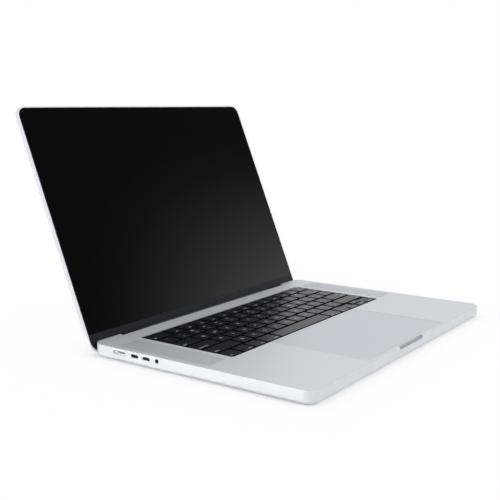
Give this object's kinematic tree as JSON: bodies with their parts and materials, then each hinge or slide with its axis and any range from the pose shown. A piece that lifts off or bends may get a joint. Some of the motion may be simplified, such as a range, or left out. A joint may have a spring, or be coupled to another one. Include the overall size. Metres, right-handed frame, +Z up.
{
  "type": "laptop computer",
  "caption": "Slim metal laptop computer, open, with a black keyboard, a large glass trackpad, side sockets and a thin hinged display lid.",
  "frame": {"origin": "on the table below the middle of the open laptop's depth and width", "axes": "+X to the user's right, +Y away from the user, +Z up"},
  "size_m": [0.3556, 0.34, 0.2314],
  "materials": {
    "case_metal": "bead-blasted and anodised, silver",
    "key_plastic": "moulded black keycap plastic",
    "web_black": "black anodised",
    "membrane_film": "printed film",
    "steel_plate": "stamped steel",
    "haptic_metal": "steel can",
    "battery_wrap": "black pouch film",
    "board_laminate": "dark solder mask",
    "chip_ceramic": "moulded package",
    "copper": "copper",
    "fan_plastic": "moulded fan plastic",
    "speaker_plastic": "moulded box",
    "socket_dark": "dark insulator with metal contacts",
    "foot_rubber": "dark rubber",
    "trackpad_finish": "etched glass over silver coating",
    "display_black": "glossy black cover glass, display off",
    "hinge_plastic": "satin black plastic"
  },
  "bodies": {
    "base": {"upper_case": "case_metal", "keyboard_web": "web_black", "switch_membrane": "membrane_film", "keyboard_backplate": "steel_plate", "trackpad_frame": "steel_plate", "haptic_engine": "haptic_metal", "battery_cells": "battery_wrap", "logic_board": "board_laminate", "processor_package": "chip_ceramic", "heat_sink": "copper", "fan_housing_left": "fan_plastic", "fan_housing_right": "fan_plastic", "speaker_left": "speaker_plastic", "speaker_right": "speaker_plastic", "charging_socket": "socket_dark", "left_data_sockets": "socket_dark", "right_data_socket": "socket_dark", "audio_socket": "socket_dark", "video_socket": "socket_dark", "card_slot": "socket_dark", "hinge_bracket_left": "steel_plate", "hinge_bracket_right": "steel_plate", "bottom_cover": "case_metal", "feet": "foot_rubber", "cover_screws": "steel_plate"},
    "lid": {"lid_shell": "case_metal", "display_panel": "display_black", "display_glass": "display_black", "display_gasket": "foot_rubber", "camera_module": "board_laminate", "hinge_cover": "hinge_plastic", "hinge_leaf_left": "steel_plate", "hinge_leaf_right": "steel_plate", "hinge_pins": "steel_plate"},
    "trackpad": {"trackpad_glass": "trackpad_finish"},
    "fan_left": {"fan_rotor_left": "fan_plastic"},
    "fan_right": {"fan_rotor_right": "fan_plastic"},
    "left_modifier_keys_body": {"left_modifier_keys": "key_plastic"},
    "left_command_key_body": {"left_command_key": "key_plastic"},
    "space_bar_body": {"space_bar": "key_plastic"},
    "right_command_key_body": {"right_command_key": "key_plastic"},
    "right_option_key_body": {"right_option_key": "key_plastic"},
    "left_shift_key_body": {"left_shift_key": "key_plastic"},
    "lower_letter_keys_body": {"lower_letter_keys": "key_plastic"},
    "right_shift_key_body": {"right_shift_key": "key_plastic"},
    "caps_lock_key_body": {"caps_lock_key": "key_plastic"},
    "home_letter_keys_body": {"home_letter_keys": "key_plastic"},
    "return_key_body": {"return_key": "key_plastic"},
    "tab_key_body": {"tab_key": "key_plastic"},
    "upper_letter_keys_body": {"upper_letter_keys": "key_plastic"},
    "number_keys_body": {"number_keys": "key_plastic"},
    "delete_key_body": {"delete_key": "key_plastic"},
    "escape_key_body": {"escape_key": "key_plastic"},
    "function_keys_body": {"function_keys": "key_plastic"},
    "power_key_body": {"power_key": "key_plastic"},
    "left_arrow_key_body": {"left_arrow_key": "key_plastic"},
    "down_arrow_key_body": {"down_arrow_key": "key_plastic"},
    "up_arrow_key_body": {"up_arrow_key": "key_plastic"},
    "right_arrow_key_body": {"right_arrow_key": "key_plastic"}
  },
  "joints": [
    {"name": "lid_hinge", "type": "hinge", "parent": "base", "child": "lid", "pos_m": [0, 0.07129, 0.0096], "axis": [1, 0, 0], "range_deg": [-17.7, 112.3]},
    {"name": "trackpad_press", "type": "slide", "parent": "base", "child": "trackpad", "axis": [0, 0, -1], "range_m": [0, 0.00025], "stiffness_N_per_m": 8000, "springref_m": -0.0001},
    {"name": "fan_left_spin", "type": "hinge", "parent": "base", "child": "fan_left", "pos_m": [-0.088, 0.00204, 0.0056], "axis": [0, 0, 1], "continuous": true},
    {"name": "fan_right_spin", "type": "hinge", "parent": "base", "child": "fan_right", "pos_m": [0.088, 0.00204, 0.0056], "axis": [0, 0, 1], "continuous": true},
    {"name": "left_modifier_keys_press", "type": "slide", "parent": "base", "child": "left_modifier_keys_body", "axis": [0, 0, -1], "range_m": [0, 0.001], "stiffness_N_per_m": 400, "springref_m": -0.0006},
    {"name": "left_command_key_press", "type": "slide", "parent": "base", "child": "left_command_key_body", "axis": [0, 0, -1], "range_m": [0, 0.001], "stiffness_N_per_m": 400, "springref_m": -0.0006},
    {"name": "space_bar_press", "type": "slide", "parent": "base", "child": "space_bar_body", "axis": [0, 0, -1], "range_m": [0, 0.001], "stiffness_N_per_m": 400, "springref_m": -0.0006},
    {"name": "right_command_key_press", "type": "slide", "parent": "base", "child": "right_command_key_body", "axis": [0, 0, -1], "range_m": [0, 0.001], "stiffness_N_per_m": 400, "springref_m": -0.0006},
    {"name": "right_option_key_press", "type": "slide", "parent": "base", "child": "right_option_key_body", "axis": [0, 0, -1], "range_m": [0, 0.001], "stiffness_N_per_m": 400, "springref_m": -0.0006},
    {"name": "left_shift_key_press", "type": "slide", "parent": "base", "child": "left_shift_key_body", "axis": [0, 0, -1], "range_m": [0, 0.001], "stiffness_N_per_m": 400, "springref_m": -0.0006},
    {"name": "lower_letter_keys_press", "type": "slide", "parent": "base", "child": "lower_letter_keys_body", "axis": [0, 0, -1], "range_m": [0, 0.001], "stiffness_N_per_m": 400, "springref_m": -0.0006},
    {"name": "right_shift_key_press", "type": "slide", "parent": "base", "child": "right_shift_key_body", "axis": [0, 0, -1], "range_m": [0, 0.001], "stiffness_N_per_m": 400, "springref_m": -0.0006},
    {"name": "caps_lock_key_press", "type": "slide", "parent": "base", "child": "caps_lock_key_body", "axis": [0, 0, -1], "range_m": [0, 0.001], "stiffness_N_per_m": 400, "springref_m": -0.0006},
    {"name": "home_letter_keys_press", "type": "slide", "parent": "base", "child": "home_letter_keys_body", "axis": [0, 0, -1], "range_m": [0, 0.001], "stiffness_N_per_m": 400, "springref_m": -0.0006},
    {"name": "return_key_press", "type": "slide", "parent": "base", "child": "return_key_body", "axis": [0, 0, -1], "range_m": [0, 0.001], "stiffness_N_per_m": 400, "springref_m": -0.0006},
    {"name": "tab_key_press", "type": "slide", "parent": "base", "child": "tab_key_body", "axis": [0, 0, -1], "range_m": [0, 0.001], "stiffness_N_per_m": 400, "springref_m": -0.0006},
    {"name": "upper_letter_keys_press", "type": "slide", "parent": "base", "child": "upper_letter_keys_body", "axis": [0, 0, -1], "range_m": [0, 0.001], "stiffness_N_per_m": 400, "springref_m": -0.0006},
    {"name": "number_keys_press", "type": "slide", "parent": "base", "child": "number_keys_body", "axis": [0, 0, -1], "range_m": [0, 0.001], "stiffness_N_per_m": 400, "springref_m": -0.0006},
    {"name": "delete_key_press", "type": "slide", "parent": "base", "child": "delete_key_body", "axis": [0, 0, -1], "range_m": [0, 0.001], "stiffness_N_per_m": 400, "springref_m": -0.0006},
    {"name": "escape_key_press", "type": "slide", "parent": "base", "child": "escape_key_body", "axis": [0, 0, -1], "range_m": [0, 0.001], "stiffness_N_per_m": 400, "springref_m": -0.0006},
    {"name": "function_keys_press", "type": "slide", "parent": "base", "child": "function_keys_body", "axis": [0, 0, -1], "range_m": [0, 0.001], "stiffness_N_per_m": 400, "springref_m": -0.0006},
    {"name": "power_key_press", "type": "slide", "parent": "base", "child": "power_key_body", "axis": [0, 0, -1], "range_m": [0, 0.001], "stiffness_N_per_m": 400, "springref_m": -0.0006},
    {"name": "left_arrow_key_press", "type": "slide", "parent": "base", "child": "left_arrow_key_body", "axis": [0, 0, -1], "range_m": [0, 0.001], "stiffness_N_per_m": 400, "springref_m": -0.0006},
    {"name": "down_arrow_key_press", "type": "slide", "parent": "base", "child": "down_arrow_key_body", "axis": [0, 0, -1], "range_m": [0, 0.001], "stiffness_N_per_m": 400, "springref_m": -0.0006},
    {"name": "up_arrow_key_press", "type": "slide", "parent": "base", "child": "up_arrow_key_body", "axis": [0, 0, -1], "range_m": [0, 0.001], "stiffness_N_per_m": 400, "springref_m": -0.0006},
    {"name": "right_arrow_key_press", "type": "slide", "parent": "base", "child": "right_arrow_key_body", "axis": [0, 0, -1], "range_m": [0, 0.001], "stiffness_N_per_m": 400, "springref_m": -0.0006}
  ]
}
